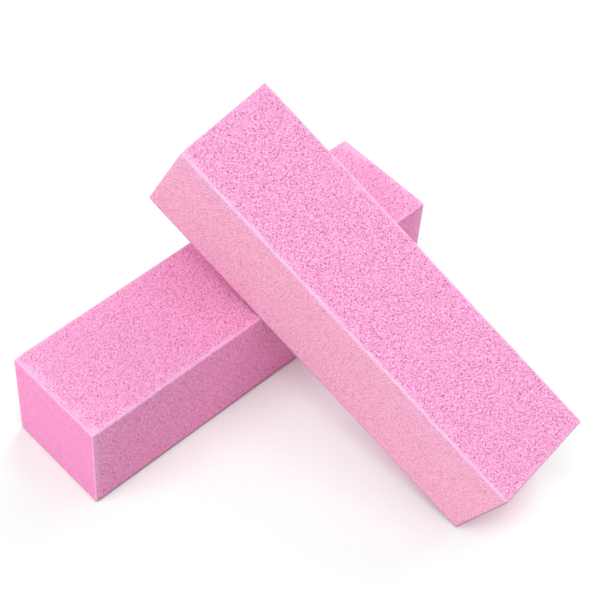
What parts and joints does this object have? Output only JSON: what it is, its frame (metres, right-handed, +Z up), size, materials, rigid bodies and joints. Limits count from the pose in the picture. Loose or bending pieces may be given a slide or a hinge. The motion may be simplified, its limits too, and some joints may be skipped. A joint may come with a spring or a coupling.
{
  "type": "nail buffer block",
  "caption": "Soft foam nail buffer blocks with grit on their long faces and bare foam ends, the upper block leaning on the lower.",
  "frame": {"origin": "centre of the lying block's underside", "axes": "+X along the lying block, +Z up out of the face it rests on, +Y across it, away from the side that the second block leans on"},
  "size_m": [0.095, 0.0989, 0.0638],
  "materials": {
    "foam": "matt closed-cell EVA foam, dyed pink right through, knife-cut at the ends",
    "bond_coat": "thin matt resin make coat, tinted pink",
    "coarse_grit": "coarse abrasive grain in pink resin, dry and rough, pale grains with darker pits between",
    "fine_grit": "fine abrasive grain in pink resin, dry and matt"
  },
  "bodies": {
    "lying_block": {"lying_foam_core": "foam", "lying_bond_coat_top": "bond_coat", "lying_coarse_grit_top": "coarse_grit", "lying_bond_coat_bottom": "bond_coat", "lying_coarse_grit_bottom": "coarse_grit", "lying_bond_coat_left": "bond_coat", "lying_fine_grit_left": "fine_grit", "lying_bond_coat_right": "bond_coat", "lying_fine_grit_right": "fine_grit"},
    "leaning_block": {"leaning_foam_core": "foam", "leaning_bond_coat_top": "bond_coat", "leaning_coarse_grit_top": "coarse_grit", "leaning_bond_coat_bottom": "bond_coat", "leaning_coarse_grit_bottom": "coarse_grit", "leaning_bond_coat_left": "bond_coat", "leaning_fine_grit_left": "fine_grit", "leaning_bond_coat_right": "bond_coat", "leaning_fine_grit_right": "fine_grit"}
  },
  "joints": [
    {"name": "leaning_block_lift", "type": "slide", "parent": "lying_block", "child": "leaning_block", "axis": [0, 0, 1], "range_m": [0, 0.04]}
  ]
}
